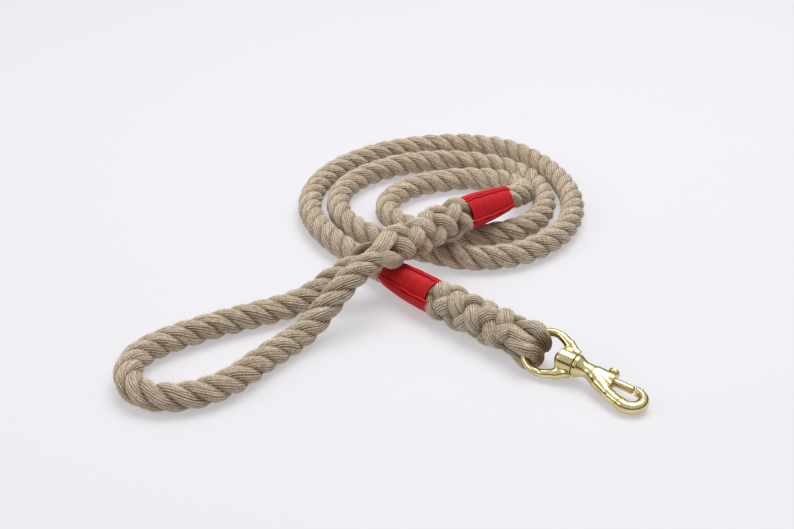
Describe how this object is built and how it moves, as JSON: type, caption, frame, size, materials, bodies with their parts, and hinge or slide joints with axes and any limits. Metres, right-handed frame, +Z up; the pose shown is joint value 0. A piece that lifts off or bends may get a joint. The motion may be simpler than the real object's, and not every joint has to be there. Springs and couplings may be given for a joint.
{
  "type": "training leash",
  "caption": "Three-strand rope leash with a spliced hand loop at one end and a brass swivel bolt snap spliced in at the other, both splices whipped with twine.",
  "frame": {"origin": "on the surface that the leash lies on, below the middle of the box round the hand loop, the two splices and the snap", "axes": "+X along the way from the hand loop to the snap, +Y towards the coiled lead, +Z up"},
  "size_m": [0.2745, 0.324, 0.0415],
  "materials": {
    "rope": "natural laid plant fibre, matt, slightly hairy",
    "twine": "red waxed whipping twine",
    "brass_cast": "polished casting",
    "brass_turned": "polished, turned",
    "spring_wire": "drawn wire"
  },
  "bodies": {
    "rope": {"lead_rope": "rope", "handle_loop": "rope", "handle_splice": "rope", "handle_whipping": "twine", "snap_splice": "rope", "snap_whipping": "twine"},
    "eye": {"swivel_eye": "brass_cast"},
    "hook": {"hook_body": "brass_cast", "bolt_spring": "spring_wire"},
    "bolt": {"bolt": "brass_turned", "thumb_knob": "brass_turned"}
  },
  "joints": [
    {"name": "eye_swing", "type": "hinge", "parent": "rope", "child": "eye", "pos_m": [0.0789, -0.0498, 0.0119], "axis": [0.4991, 0.6392, 0.585], "range_deg": [-15, 15]},
    {"name": "swivel", "type": "hinge", "parent": "eye", "child": "hook", "pos_m": [0.0988, -0.0632, 0.0096], "axis": [0.8252, -0.5566, -0.0958], "continuous": true},
    {"name": "bolt_slide", "type": "slide", "parent": "hook", "child": "bolt", "axis": [-0.8252, 0.5566, 0.0958], "range_m": [0, 0.008], "stiffness_N_per_m": 300, "springref_m": -0.004}
  ]
}
